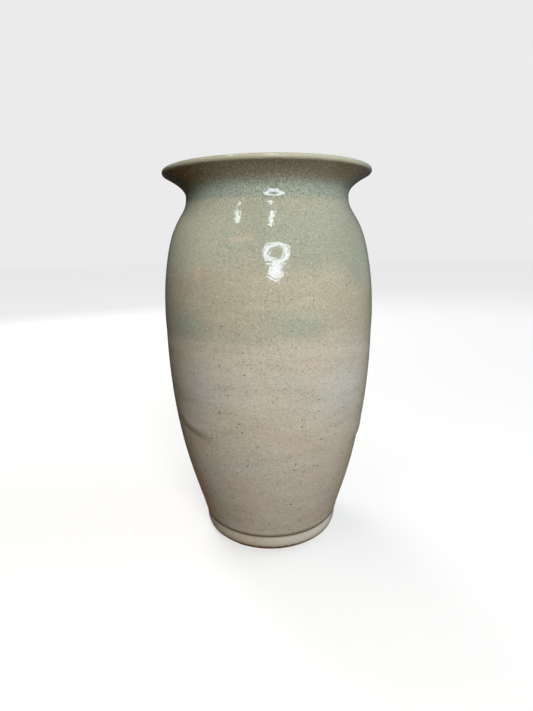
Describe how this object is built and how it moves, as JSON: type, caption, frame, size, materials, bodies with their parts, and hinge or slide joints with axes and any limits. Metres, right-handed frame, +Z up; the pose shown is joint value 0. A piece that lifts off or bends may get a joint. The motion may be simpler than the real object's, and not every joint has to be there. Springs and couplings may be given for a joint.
{
  "type": "stoneware vase",
  "caption": "Tall wheel-thrown stoneware vase: swelling body, short neck, wide flared rim, rolled foot, sage glaze lapped over speckled oatmeal glaze.",
  "frame": {"origin": "middle of the foot ring, on the surface that the vase stands on", "axes": "+Z up along the axis of revolution; X and Y are level and, on a turned vase, interchangeable"},
  "size_m": [0.1698, 0.1698, 0.3],
  "materials": {
    "bare_clay": "matte",
    "base_glaze": "satin",
    "top_glaze": "gloss",
    "liner_glaze": "gloss"
  },
  "bodies": {
    "root": {"clay_body": "bare_clay", "base_glaze": "base_glaze", "top_glaze": "top_glaze", "liner_glaze": "liner_glaze"}
  },
  "joints": []
}
